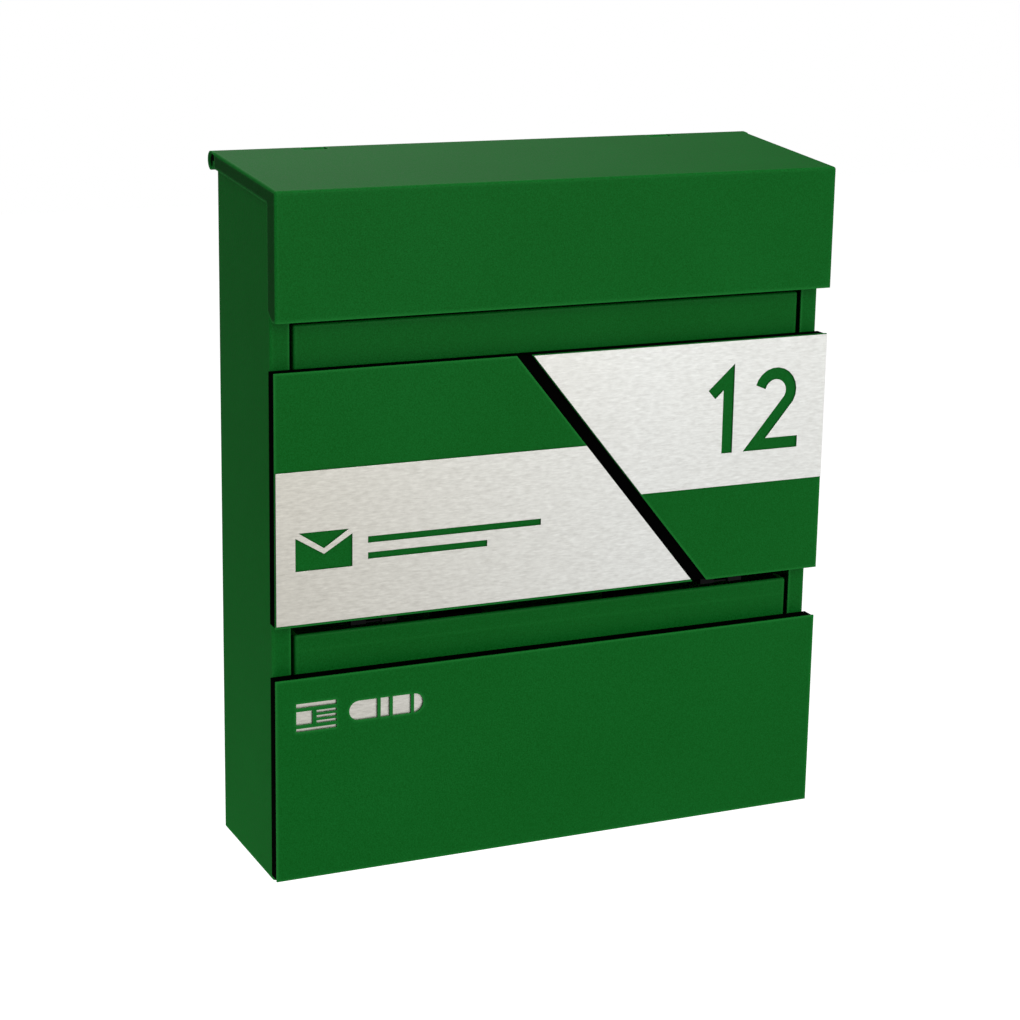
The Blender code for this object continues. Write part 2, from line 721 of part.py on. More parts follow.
# ---- lock ----
def lock_body(material):
    """Collar in front of the fascia and a barrel through it."""
    made = turned("lock_body", 0, LOCK_HEIGHT, COLLAR_RADIUS, (COLLAR_FRONT, SHEET), material, ROUND_STEPS)
    join(made, turned("barrel", 0, LOCK_HEIGHT, LOCK_RADIUS, (0, LOCK_DEPTH), material, ROUND_STEPS))
    bore = turned("bore", 0, LOCK_HEIGHT, ROTOR_RADIUS + GAP, (-THROUGH, THROUGH), material, ROUND_STEPS)
    return cut(made, bore)


def lock_nut(material):
    front = 2 * (SHEET + GAP)
    made = turned("lock_nut", 0, LOCK_HEIGHT, NUT_RADIUS, (front, front + NUT_THICKNESS), material, steps=6)
    bore = turned("bore", 0, LOCK_HEIGHT, LOCK_RADIUS + GAP, (-THROUGH, THROUGH), material, ROUND_STEPS)
    return cut(made, bore)


def lock_rotor(material):
    """Keyed plug with a square tail, threaded for the cam's screw."""
    made = turned("lock_rotor", 0, LOCK_HEIGHT, ROTOR_RADIUS, ROTOR_DEPTH, material, ROUND_STEPS)
    tail_height = (LOCK_HEIGHT - TAIL_HALF, LOCK_HEIGHT + TAIL_HALF)
    join(made, block("tail", (-TAIL_HALF, TAIL_HALF), TAIL_DEPTH, tail_height, material))
    key_height = (LOCK_HEIGHT - KEYWAY_RISE, LOCK_HEIGHT + KEYWAY_RISE)
    keyway = block("keyway", (-KEYWAY_HALF, KEYWAY_HALF), (-THROUGH, KEYWAY_DEPTH), key_height, material)
    thread_depth = (CAM_SCREW_REACH - 2 * GAP, THROUGH)
    thread = turned("thread", 0, LOCK_HEIGHT, CAM_SCREW_RADIUS + GAP, thread_depth, material)
    return cut(made, keyway, thread)


def lock_cam(material):
    """Tongue that lies level when unlocked and turns down behind the door's upper edge."""
    tip = arc((CAM_LENGTH - CAM_HALF, LOCK_HEIGHT), CAM_HALF, math.radians(-90), math.radians(180), 8)
    outline = [(-CAM_HALF, LOCK_HEIGHT - CAM_HALF), *tip, (-CAM_HALF, LOCK_HEIGHT + CAM_HALF)]
    made = plate("lock_cam", outline, CAM_DEPTH[0], CAM_DEPTH[1], material)
    hole = TAIL_HALF + GAP
    hole_height = (LOCK_HEIGHT - hole, LOCK_HEIGHT + hole)
    return cut(made, block("square", (-hole, hole), (0, THROUGH), hole_height, material))


def cam_screw(material):
    seat = CAM_DEPTH[1] + GAP
    made = turned("cam_screw", 0, LOCK_HEIGHT, CAM_SCREW_HEAD, (seat, seat + SCREW_HEAD), material)
    shank = turned("shank", 0, LOCK_HEIGHT, CAM_SCREW_RADIUS, (CAM_SCREW_REACH, seat + GAP), material)
    return join(made, shank)


# ---- assembly ----
def build_body(green, black, zinc, dark):
    side_panel("left_side_panel", -1, green)
    side_panel("right_side_panel", 1, green)
    back_panel(green)
    floor_plate(green)
    partition_shelf(green)
    top_plate(green)
    front_fascia(green)
    for x, height, where in spacer_places():
        wall_spacer(f"wall_spacer_{where}", x, height, black)
    for sign, hand in ((-1, "left"), (1, "right")):
        lid_hinge_bracket(f"lid_hinge_bracket_{hand}", sign * LID_HINGE_X, green)
        lid_buffer(f"lid_buffer_{hand}", sign * BUFFER_X, black)
        magnet_catch(f"magnet_catch_{hand}", sign * CATCH_X, black)
        hinge_x = sign * BUTT_HINGE_X
        mail_seat = SHELF_HEIGHT + SHEET + GAP
        fixed_leaf(f"mail_hinge_fixed_leaf_{hand}", hinge_x, MAIL_HINGE_HEIGHT, mail_seat, dark)
        fixed_leaf(f"flap_hinge_fixed_leaf_{hand}", hinge_x, NEWS_HINGE_HEIGHT, SHEET + GAP, dark)
    rod("lid_hinge_rod", place(0, CURL_DEPTH, CURL_HEIGHT), ROD_RADIUS, "X", 2 * HALF_WIDTH, dark)
    lock_body(zinc)
    lock_nut(zinc)


def build_lid(green):
    axis = axis_point("lid_axis", 0, CURL_DEPTH, CURL_HEIGHT)
    carry(axis, lid_shell(green))


def hinge_halves(kind, hinge_height, dark):
    made = []
    for sign, hand in ((-1, "left"), (1, "right")):
        hinge_x = sign * BUTT_HINGE_X
        made.append(moving_leaf(f"{kind}_hinge_moving_leaf_{hand}", hinge_x, hinge_height, dark))
        made.append(hinge_pin(f"{kind}_hinge_pin_{hand}", hinge_x, hinge_height, dark))
    return made


def panel_screws(kind, places, zinc):
    return [
        panel_screw(f"{kind}_panel_screw_{number}", x, height, zinc)
        for number, (x, height) in enumerate(places, start=1)
    ]


def build_mail_door(green, black, steel, zinc, dark):
    bottom, top = MIDDLE_PANEL
    pieces = [
        mail_door_tray(green),
        spacer_board("middle_spacer_board", MIDDLE_PANEL, MIDDLE_SCREWS, black),
        slanted_plate("left_panel", -1, bottom, top, PANEL_FRONT, SHEET, 0, green),
        slanted_plate("right_panel", 1, bottom, top, PANEL_FRONT, SHEET, 0, green),
        name_plate(steel),
        number_plate(steel),
    ]
    pieces += hinge_halves("mail", MAIL_HINGE_HEIGHT, dark)
    pieces += panel_screws("middle", MIDDLE_SCREWS, zinc)
    carry(axis_point("mail_door_axis", 0, HINGE_DEPTH, MAIL_HINGE_HEIGHT), *pieces)


def build_newspaper_flap(green, black, steel, zinc, dark):
    backing_depth = (BOARD_FRONT, BOARD_FRONT + STEEL)
    pieces = [
        newspaper_flap_tray(green),
        lower_board(black),
        newspaper_panel(green),
        block("stencil_backing_plate", BACKING_X, backing_depth, BACKING_HEIGHT, steel),
    ]
    pieces += hinge_halves("flap", NEWS_HINGE_HEIGHT, dark)
    pieces += panel_screws("lower", LOWER_SCREWS, zinc)
    carry(axis_point("newspaper_flap_axis", 0, HINGE_DEPTH, NEWS_HINGE_HEIGHT), *pieces)


def build_lock_plug(zinc):
    axis = axis_point("lock_axis", 0, 0, LOCK_HEIGHT)
    carry(axis, lock_rotor(zinc), lock_cam(zinc), cam_screw(zinc))


def main():
    for old in list(bpy.data.objects):
        bpy.data.objects.remove(old)
    green = finish("green_powder_coat", (0.006, 0.105, 0.014), 0.45, 0.0)
    black = finish("black_board", (0.006, 0.006, 0.006), 0.6, 0.0)
    steel = finish("brushed_steel", (0.62, 0.60, 0.57), 0.35, 1.0)
    zinc = finish("zinc_plate", (0.55, 0.56, 0.58), 0.3, 1.0)
    dark = finish("black_steel", (0.012, 0.012, 0.013), 0.5, 0.0)
    build_body(green, black, zinc, dark)
    build_lid(green)
    build_mail_door(green, black, steel, zinc, dark)
    build_newspaper_flap(green, black, steel, zinc, dark)
    build_lock_plug(zinc)


main()
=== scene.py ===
import json
import math

import bmesh
import bpy
from mathutils import Matrix, Vector

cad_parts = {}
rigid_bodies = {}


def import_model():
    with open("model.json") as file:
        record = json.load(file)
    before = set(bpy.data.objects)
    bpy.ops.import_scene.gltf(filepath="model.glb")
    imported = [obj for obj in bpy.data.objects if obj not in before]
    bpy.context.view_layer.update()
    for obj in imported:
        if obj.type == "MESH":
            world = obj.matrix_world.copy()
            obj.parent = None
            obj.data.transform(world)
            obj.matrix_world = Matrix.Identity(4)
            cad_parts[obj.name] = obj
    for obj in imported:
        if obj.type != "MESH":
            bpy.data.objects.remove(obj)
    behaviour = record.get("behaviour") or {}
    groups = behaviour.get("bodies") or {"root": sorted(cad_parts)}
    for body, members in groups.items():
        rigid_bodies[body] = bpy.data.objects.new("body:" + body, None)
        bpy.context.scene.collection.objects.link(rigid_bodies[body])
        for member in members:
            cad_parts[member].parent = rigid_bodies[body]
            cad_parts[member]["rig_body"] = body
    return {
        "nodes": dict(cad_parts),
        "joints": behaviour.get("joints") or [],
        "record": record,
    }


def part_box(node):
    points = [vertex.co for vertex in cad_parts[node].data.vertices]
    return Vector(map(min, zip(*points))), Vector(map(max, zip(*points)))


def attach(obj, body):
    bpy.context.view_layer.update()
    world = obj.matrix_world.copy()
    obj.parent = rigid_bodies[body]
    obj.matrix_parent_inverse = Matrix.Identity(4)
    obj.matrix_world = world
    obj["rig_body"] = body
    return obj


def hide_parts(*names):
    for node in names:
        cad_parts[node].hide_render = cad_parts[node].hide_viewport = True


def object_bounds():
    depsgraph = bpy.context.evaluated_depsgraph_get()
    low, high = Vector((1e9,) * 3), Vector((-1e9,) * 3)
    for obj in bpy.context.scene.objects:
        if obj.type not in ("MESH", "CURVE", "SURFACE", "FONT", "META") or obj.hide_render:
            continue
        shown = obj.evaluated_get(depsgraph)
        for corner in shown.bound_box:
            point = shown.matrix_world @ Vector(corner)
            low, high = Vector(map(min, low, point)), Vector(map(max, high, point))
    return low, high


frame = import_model()
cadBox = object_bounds()
nodes = frame["nodes"]
slotOf = {part["node"]: part["material_slot"] for part in frame["record"]["subparts"]}
jointPlace = {joint["name"]: Vector(joint["pos_m"]) for joint in frame["joints"]}
print("frame loaded:", len(nodes), "nodes")


# small helpers for shader nodes: a value may be a number or another node's socket
def plugIn(tree, socket, value):
    if isinstance(value, bpy.types.NodeSocket):
        tree.links.new(value, socket)
    else:
        socket.default_value = value


def addNode(tree, kind, settings=None, **sockets):
    node = tree.nodes.new(kind)
    for key, value in (settings or {}).items():
        setattr(node, key, value)
    for key, value in sockets.items():
        plugIn(tree, node.inputs[key.replace("_", " ")], value)
    return node


def mathNode(tree, operation, first, second, clamp=False):
    node = addNode(tree, "ShaderNodeMath", {"operation": operation, "use_clamp": clamp})
    plugIn(tree, node.inputs[0], first)
    plugIn(tree, node.inputs[1], second)
    return node.outputs[0]


def mixNumbers(tree, factor, first, second):
    node = addNode(tree, "ShaderNodeMix", {"data_type": "FLOAT"})
    for index, value in ((0, factor), (2, first), (3, second)):
        plugIn(tree, node.inputs[index], value)
    return node.outputs[0]


def mixColours(tree, factor, first, second, blend="MIX"):
    node = addNode(tree, "ShaderNodeMix", {"data_type": "RGBA", "blend_type": blend})
    plugIn(tree, node.inputs[0], factor)
    for index, value in ((6, first), (7, second)):
        isSocket = isinstance(value, bpy.types.NodeSocket)
        plugIn(tree, node.inputs[index], value if isSocket else (*value, 1.0))
    return node.outputs[2]


def rescale(tree, value, low, high, fromLow=0.0, fromHigh=1.0):
    sizes = {"From_Min": fromLow, "From_Max": fromHigh, "To_Min": low, "To_Max": high}
    return addNode(tree, "ShaderNodeMapRange", Value=value, **sizes).outputs["Result"]


def objectPlace(tree):
    return addNode(tree, "ShaderNodeTexCoord").outputs["Object"]


def startGroup(name, numbersIn, valuesOut):
    group = bpy.data.node_groups.new(name, "ShaderNodeTree")
    for label, value in numbersIn.items():
        socket = group.interface.new_socket(label, in_out="INPUT", socket_type="NodeSocketFloat")
        socket.default_value = value
    for label in valuesOut:
        group.interface.new_socket(label, in_out="OUTPUT", socket_type="NodeSocketFloat")
    return group, group.nodes.new("NodeGroupInput").outputs, group.nodes.new("NodeGroupOutput").inputs


def useGroup(tree, group, **numbers):
    return addNode(tree, "ShaderNodeGroup", {"node_tree": group}, **numbers).outputs


grainKit = {
    "peelScale": 520.0,
    "speckleScale": 1500.0,
    "cloudScale": 14.0,
    "peelDetail": 3.0,
    "speckleDetail": 2.0,
    "speckleHeight": 0.35,  # against the orange peel's
}


def makeGrainGroup():  # orange peel, fine speckle and slow clouds of a baked coat
    kit = grainKit
    numbers = {"Peel Scale": kit["peelScale"], "Speckle Scale": kit["speckleScale"]}
    group, given, made = startGroup("powderGrain", numbers, ("Height", "Speckle", "Cloud"))
    place = objectPlace(group)
    peel = addNode(
        group, "ShaderNodeTexNoise", Vector=place, Scale=given["Peel Scale"], Detail=kit["peelDetail"]
    ).outputs["Fac"]
    speckle = addNode(
        group, "ShaderNodeTexNoise", Vector=place, Scale=given["Speckle Scale"], Detail=kit["speckleDetail"]
    ).outputs["Fac"]
    cloud = addNode(
        group, "ShaderNodeTexNoise", Vector=place, Scale=kit["cloudScale"], Detail=kit["peelDetail"]
    ).outputs["Fac"]
    fine = mathNode(group, "MULTIPLY", speckle, kit["speckleHeight"])
    group.links.new(mathNode(group, "ADD", peel, fine), made["Height"])
    group.links.new(speckle, made["Speckle"])
    group.links.new(cloud, made["Cloud"])
    return group


brushKit = {
    "length": 150.0,  # a lower number draws the scratches out
    "fineness": 1500.0,
    "scratchRoughness": 0.65,
    "patchScale": (190.0, 620.0, 620.0),
    "patchRoughness": 0.6,
    "detail": 4.0,
}


def makeBrushGroup():  # short scratches that run across the plate
    kit = brushKit
    numbers = {"Length": kit["length"], "Fineness": kit["fineness"]}
    group, given, made = startGroup("brushedGrain", numbers, ("Scratch", "Patch"))
    place = objectPlace(group)
    stretch = addNode(
        group, "ShaderNodeCombineXYZ", X=given["Length"], Y=given["Fineness"], Z=given["Fineness"]
    ).outputs[0]
    drawn = addNode(group, "ShaderNodeVectorMath", {"operation": "MULTIPLY"})
    group.links.new(place, drawn.inputs[0])
    group.links.new(stretch, drawn.inputs[1])
    squeezed = addNode(group, "ShaderNodeMapping", Vector=place, Scale=kit["patchScale"])
    layers = (("Scratch", drawn, kit["scratchRoughness"]), ("Patch", squeezed, kit["patchRoughness"]))
    for label, source, roughness in layers:
        noise = addNode(
            group, "ShaderNodeTexNoise",
            Vector=source.outputs[0], Scale=1.0, Detail=kit["detail"], Roughness=roughness,
        )
        group.links.new(noise.outputs["Fac"], made[label])
    return group


def makeEdgeGroup():  # 1 close to an edge, 0 on flat stretches
    group, given, made = startGroup("edgeMask", {"Reach": 0.0006, "Sharpness": 5.0}, ("Edge",))
    softened = addNode(group, "ShaderNodeBevel", {"samples": 6}, Radius=given["Reach"])
    facing = addNode(group, "ShaderNodeNewGeometry")
    compare = addNode(group, "ShaderNodeVectorMath", {"operation": "DOT_PRODUCT"})
    group.links.new(softened.outputs[0], compare.inputs[0])
    group.links.new(facing.outputs["Normal"], compare.inputs[1])
    turned = mathNode(group, "SUBTRACT", 1.0, compare.outputs["Value"])
    group.links.new(mathNode(group, "MULTIPLY", turned, given["Sharpness"], clamp=True), made["Edge"])
    return group


grainGroup = makeGrainGroup()
brushGroup = makeBrushGroup()
edgeGroup = makeEdgeGroup()
print("shader groups made: 3")

noiseSpan = (0.32, 0.68)  # the part of a noise's range that tones are spread over
roughSpan = (0.3, 0.7)  # the same for roughness


def startMaterial(name, **constants):
    material = bpy.data.materials.new(name)
    material.use_nodes = True
    tree = material.node_tree
    shader = tree.nodes["Principled BSDF"]
    for key, value in constants.items():
        shader.inputs[key.replace("_", " ")].default_value = value
    return material, tree, shader


def feedShader(tree, shader, colour, roughness, height, depth, strength):
    bump = addNode(tree, "ShaderNodeBump", Height=height, Strength=strength, Distance=depth)
    tree.links.new(colour, shader.inputs["Base Color"])
    tree.links.new(roughness, shader.inputs["Roughness"])
    tree.links.new(bump.outputs[0], shader.inputs["Normal"])


powderCoat = {
    "deep": (0.0002, 0.0830, 0.0050),
    "light": (0.0040, 0.1290, 0.0165),
    "cloudShare": 0.12,  # slow clouds against fine speckle
    "edge": (0.0140, 0.2000, 0.0320),
    "edgeReach": 0.0030,  # painted highlight: within this reach of a fold the coat is mixed towards the pale edge colour
    "edgeSharpness": 5.0,
    "edgeShare": 0.75,
    "paintedSideShade": 0.50,  # painted shade: the lid's sideways-facing faces get the coat darkened to this share
    "roughness": (0.32, 0.48),
    "gloss": 0.050,
    "peelDepth": 0.00012,
    "peelStrength": 0.5,
}


def makePowderCoat(name, tint=1.0):
    kit = powderCoat
    material, tree, shader = startMaterial(name, Metallic=0.0, Specular_IOR_Level=kit["gloss"])
    grain = useGroup(tree, grainGroup)
    cloud = mathNode(tree, "MULTIPLY", grain["Cloud"], kit["cloudShare"])
    speckle = mathNode(tree, "MULTIPLY", grain["Speckle"], 1.0 - kit["cloudShare"])
    tone = rescale(tree, mathNode(tree, "ADD", cloud, speckle), 0.0, 1.0, *noiseSpan)
    # a tint below 1 darkens the coat as painted shade
    deep = [tint * value for value in kit["deep"]]
    light = [tint * value for value in kit["light"]]
    colour = mixColours(tree, tone, deep, light)
    # painted highlight: the pale edge colour is mixed in along folds and edges
    edge = useGroup(tree, edgeGroup, Reach=kit["edgeReach"], Sharpness=kit["edgeSharpness"])["Edge"]
    paintedEdgeHighlight = mathNode(tree, "MULTIPLY", edge, kit["edgeShare"])
    colour = mixColours(tree, paintedEdgeHighlight, colour, kit["edge"])
    roughness = rescale(tree, grain["Speckle"], *kit["roughness"], *roughSpan)
    feedShader(tree, shader, colour, roughness, grain["Height"], kit["peelDepth"], kit["peelStrength"])
    return material


brushedSteel = {
    "dark": (0.540, 0.540, 0.515),
    "bright": (0.728, 0.735, 0.712),
    "warm": (0.86, 0.825, 0.765),  # tint of the sheet at its left end
    "drift": (-0.19, 0.06),  # where the tint starts and ends across
    "streakShare": 0.5,  # scratches against patches
    # painted highlight: near-white colour mixed in along the plate's edges
    "edge": (0.95, 0.95, 0.94),
    "edgeReach": 0.0004,
    "edgeSharpness": 3.0,
    "roughness": (0.30, 0.44),
    "scratchDepth": 0.00003,
    "scratchStrength": 0.4,
}


def makeBrushedSteel(name):
    kit = brushedSteel
    material, tree, shader = startMaterial(name, Metallic=1.0)
    grain = useGroup(tree, brushGroup)
    streaks = mathNode(tree, "MULTIPLY", grain["Scratch"], kit["streakShare"])
    patches = mathNode(tree, "MULTIPLY", grain["Patch"], 1.0 - kit["streakShare"])
    tone = rescale(tree, mathNode(tree, "ADD", streaks, patches), 0.0, 1.0, *noiseSpan)
    colour = mixColours(tree, tone, kit["dark"], kit["bright"])
    across = addNode(tree, "ShaderNodeSeparateXYZ", Vector=objectPlace(tree)).outputs["X"]
    tint = mixColours(tree, rescale(tree, across, 0.0, 1.0, *kit["drift"]), kit["warm"], (1.0, 1.0, 1.0))
    colour = mixColours(tree, 1.0, colour, tint, blend="MULTIPLY")
    # painted highlight along the plate's edges
    edge = useGroup(tree, edgeGroup, Reach=kit["edgeReach"], Sharpness=kit["edgeSharpness"])["Edge"]
    colour = mixColours(tree, edge, colour, kit["edge"])
    roughness = rescale(tree, grain["Scratch"], *kit["roughness"], *roughSpan)
    feedShader(
        tree, shader, colour, roughness, grain["Scratch"], kit["scratchDepth"], kit["scratchStrength"]
    )
    return material


plainFinishes = {
    "blackBoard": {
        "dark": (0.0002, 0.0002, 0.0002),
        "light": (0.0008, 0.0008, 0.0007),
        "roughness": (0.6, 0.75),
        "metallic": 0.0,
        "gloss": 0.005,
        "peelScale": 700.0,
        "speckleScale": 2200.0,
        "depth": 0.00005,
    },
    "blackenedSteel": {
        "dark": (0.0008, 0.0009, 0.0010),
        "light": (0.0032, 0.0032, 0.0034),
        "roughness": (0.40, 0.58),
        "metallic": 0.0,
        "gloss": 0.06,
        "peelScale": 500.0,
        "speckleScale": 1900.0,
        "depth": 0.00003,
    },
    "zincPlate": {
        "dark": (0.42, 0.43, 0.44),
        "light": (0.66, 0.67, 0.67),
        "roughness": (0.22, 0.38),
        "metallic": 1.0,
        "gloss": 0.5,
        "peelScale": 260.0,
        "speckleScale": 1800.0,
        "depth": 0.00002,
    },
    "softRubber": {
        "dark": (0.010, 0.010, 0.010),
        "light": (0.020, 0.020, 0.019),
        "roughness": (0.6, 0.8),
        "metallic": 0.0,
        "gloss": 0.3,
        "peelScale": 900.0,
        "speckleScale": 2600.0,
        "depth": 0.00004,
    },
}
plainSpan = (0.7, 1.3)  # cloud and speckle added together
plainStrength = 0.4


def makePlainFinish(name):
    kit = plainFinishes[name]
    material, tree, shader = startMaterial(
        name, Metallic=kit["metallic"], Specular_IOR_Level=kit["gloss"]
    )
    grain = useGroup(tree, grainGroup, Peel_Scale=kit["peelScale"], Speckle_Scale=kit["speckleScale"])
    tone = rescale(tree, mathNode(tree, "ADD", grain["Cloud"], grain["Speckle"]), 0.0, 1.0, *plainSpan)
    colour = mixColours(tree, tone, kit["dark"], kit["light"])
    roughness = rescale(tree, grain["Speckle"], *kit["roughness"], *roughSpan)
    feedShader(tree, shader, colour, roughness, grain["Height"], kit["depth"], plainStrength)
    return material


finishes = {
    "green_powder_coat": makePowderCoat("powderCoat"),
    "brushed_steel": makeBrushedSteel("brushedSteel"),
    "black_board": makePlainFinish("blackBoard"),
    "black_steel": makePlainFinish("blackenedSteel"),
    "zinc_steel": makePlainFinish("zincPlate"),
    "rubber": makePlainFinish("softRubber"),
}
# painted shade: a darker copy of the coat for the lid's sideways-facing faces
paintedSideShadeCoat = makePowderCoat("powderCoatPaintedShade", powderCoat["paintedSideShade"])
print("materials made:", len(finishes) + 1)


sheetKit = {
    "thickness": 0.001,
    "edge": 0.00018,  # rounding of the cut edges
    "edgeSteps": 2,
    "edgeAngle": math.radians(35),  # only edges sharper than this are rounded
    "bendSteps": 5,
    "flatWeight": 90,  # keeps the flat faces looking flat beside their round edges
}
weldReach = 1e-6  # corners this close are one
sameReach = 1e-5  # places this close count as the same


# turns a bmesh into the piece that stands for a node, riding on that node's body
def finishPiece(name, mesh, nodeName, edge, sheet=None, extraFinishes=()):
    data = bpy.data.meshes.new(name)
    mesh.to_mesh(data)
    mesh.free()
    data.shade_smooth()
    for finish in (finishes[slotOf[nodeName]], *extraFinishes):
        data.materials.append(finish)
    piece = bpy.data.objects.new(name, data)
    bpy.context.scene.collection.objects.link(piece)
    if sheet:
        wall = piece.modifiers.new("sheet", "SOLIDIFY")
        wall.thickness = sheet
        wall.offset = -1.0
        wall.use_even_offset = True
    bevel = piece.modifiers.new("edges", "BEVEL")
    bevel.width = edge
    bevel.segments = sheetKit["edgeSteps"]
    bevel.limit_method = "ANGLE"
    bevel.angle_limit = sheetKit["edgeAngle"]
    even = piece.modifiers.new("shading", "WEIGHTED_NORMAL")
    even.weight = sheetKit["flatWeight"]
    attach(piece, nodes[nodeName]["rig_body"])
    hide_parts(nodeName)


def finishSheet(name, mesh, nodeName, extraFinishes=()):
    finishPiece(name, mesh, nodeName, sheetKit["edge"], sheetKit["thickness"], extraFinishes)


def near(first, second):
    return abs(first - second) < sameReach


def edgesWhere(mesh, test):
    return [edge for edge in mesh.edges if test(edge.verts[0].co, edge.verts[1].co)]


def turnOutwards(mesh, probe):  # the face that lies furthest along probe has to look along it
    bmesh.ops.recalc_face_normals(mesh, faces=mesh.faces)
    face = max(mesh.faces, key=lambda item: item.calc_center_median().dot(probe))
    if face.normal.dot(probe) < 0:
        bmesh.ops.reverse_faces(mesh, faces=mesh.faces)


def roundEdges(mesh, edges, radius):
    bmesh.ops.bevel(
        mesh, geom=edges, offset=radius, offset_type="OFFSET", segments=sheetKit["bendSteps"],
        profile=0.5, affect="EDGES", clamp_overlap=True, material=-1,
    )


def pushEdges(mesh, edges, reach):  # folds a new strip out of some edges and returns its tips
    made = bmesh.ops.extrude_edge_only(mesh, edges=edges)
    tips = [item for item in made["geom"] if isinstance(item, bmesh.types.BMVert)]
    bmesh.ops.translate(mesh, verts=tips, vec=reach)
    return tips


def cutAcross(mesh, axis, place):
    point, normal = Vector((0, 0, 0)), Vector((0, 0, 0))
    point[axis] = place
    normal[axis] = 1.0
    geometry = mesh.verts[:] + mesh.edges[:] + mesh.faces[:]
    bmesh.ops.bisect_plane(mesh, geom=geometry, dist=weldReach, plane_co=point, plane_no=normal)


def cutWindow(mesh, low, high):  # removes the faces whose middles lie in a box
    for corner in (low, high):
        for axis in range(3):
            cutAcross(mesh, axis, corner[axis])
    inside = []
    for face in mesh.faces:
        middle = face.calc_center_median()
        if all(low[axis] < middle[axis] < high[axis] for axis in range(3)):
            inside.append(face)
    bmesh.ops.delete(mesh, geom=inside, context="FACES")


lidForm = {
    "slope": math.radians(4.5),
    "curlRadius": 0.0058,
    "curlSweep": math.radians(275),
    "curlSteps": 28,
    "sideDrop": 0.0097,  # side flanges below the roof
    "returnDepth": 0.0146,  # side returns behind the skirt's face
    "cornerRise": 0.005,  # the returns' lower rear corners are cut off
    "cornerDepth": 0.007,
    "hem": 0.004,
    "hemInset": 0.002,
    "bend": 0.0016,
    "flangeEnd": 0.007,  # flanges stop this far before the hinge line
    "hingeX": 0.120,
    "notchHalf": 0.008,
    "notchLead": 0.0005,  # the notches start this far before the flanges end
    "notchReach": 0.02,  # and run past the hinge line, above and below it
    "straightRear": 0.01,  # the roof's sides stay unrounded over this length
    "sideFacing": 0.99,  # faces that look this squarely sideways take the painted shade
}
hinge = jointPlace["lid_hinge"]
lidLow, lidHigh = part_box("lid_shell")


def roofHeight(y):
    rise = lidForm["curlRadius"] / math.cos(lidForm["slope"])
    return hinge.z + rise + math.tan(lidForm["slope"]) * (y - hinge.y)


def makeLid():
    kit = lidForm
    front, bottom = lidLow.y, lidLow.z
    flangeEnd = hinge.y - kit["flangeEnd"]
    returnEdge = front + kit["returnDepth"]
    outline = [
        (front, roofHeight(front)),
        (flangeEnd, roofHeight(flangeEnd)),
        (flangeEnd, roofHeight(flangeEnd) - kit["sideDrop"]),
        (returnEdge, roofHeight(returnEdge) - kit["sideDrop"]),
        (returnEdge, bottom + kit["cornerRise"]),
        (front + kit["cornerDepth"], bottom),
        (front, bottom),
    ]
    mesh = bmesh.new()
    for x in (lidLow.x, lidHigh.x):
        mesh.faces.new([mesh.verts.new((x, y, z)) for y, z in outline])
    mesh.verts.ensure_lookup_table()

    # roof and skirt join the two sides
    leftTop, leftRear, leftFoot = mesh.verts[0], mesh.verts[1], mesh.verts[6]
    folds = [mesh.edges.get((leftTop, leftRear)), mesh.edges.get((leftTop, leftFoot))]
    pushEdges(mesh, folds, Vector((lidHigh.x - lidLow.x, 0, 0)))
    bmesh.ops.remove_doubles(mesh, verts=mesh.verts, dist=weldReach)

    # the roof runs on to the hinge and rolls round the rod
    def isRoofRear(a, b):
        return near(a.y, flangeEnd) and near(b.y, flangeEnd) and near(a.z, b.z) and not near(a.x, b.x)

    tangentY = hinge.y - kit["curlRadius"] * math.sin(kit["slope"])
    toTangent = Vector((0, tangentY - flangeEnd, roofHeight(tangentY) - roofHeight(flangeEnd)))
    tips = pushEdges(mesh, edgesWhere(mesh, isRoofRear), toTangent)
    curlEdge = [edge for edge in tips[0].link_edges if edge.other_vert(tips[0]) in tips]
    bmesh.ops.spin(
        mesh, geom=curlEdge + tips, cent=hinge, axis=(-1, 0, 0), dvec=(0, 0, 0),
        angle=kit["curlSweep"], steps=kit["curlSteps"],
    )

    # hem under the skirt
    def isAtFoot(point):
        return near(point.y, front) and near(point.z, bottom)

    foot = edgesWhere(mesh, lambda a, b: isAtFoot(a) and isAtFoot(b))
    for tip in pushEdges(mesh, foot, Vector((0, kit["hem"], 0))):
        tip.co.x -= math.copysign(kit["hemInset"], tip.co.x)

    # round bends round the skirt and along the roof's sides
    def isSkirtFold(a, b):
        return near(a.y, front) and near(b.y, front) and not (isAtFoot(a) and isAtFoot(b))

    def isRoofSide(a, b):
        onRoof = near(a.z, roofHeight(a.y)) and near(b.z, roofHeight(b.y))
        return onRoof and near(a.x, b.x) and min(a.y, b.y) < flangeEnd - kit["straightRear"]

    turnOutwards(mesh, Vector((0, 0, 1)))
    roundEdges(mesh, edgesWhere(mesh, lambda a, b: isSkirtFold(a, b) or isRoofSide(a, b)), kit["bend"])

    # notches for the two hinge brackets
    for x in (-kit["hingeX"], kit["hingeX"]):
        low = Vector((x - kit["notchHalf"], flangeEnd - kit["notchLead"], hinge.z - kit["notchReach"]))
        high = Vector((x + kit["notchHalf"], hinge.y + kit["notchReach"], hinge.z + kit["notchReach"]))
        cutWindow(mesh, low, high)
    # painted shade: sideways-facing faces take the darker copy of the coat
    for face in mesh.faces:
        face.material_index = int(abs(face.normal.x) > kit["sideFacing"])
    finishSheet("lidShellFolded", mesh, "lid_shell", [paintedSideShadeCoat])


makeLid()
print("lid made")


bodyForm = {
    "bend": 0.0016,
    "topDrop": 0.006,  # side walls end this far under the roof's face
    "rearFlange": 0.010,
}


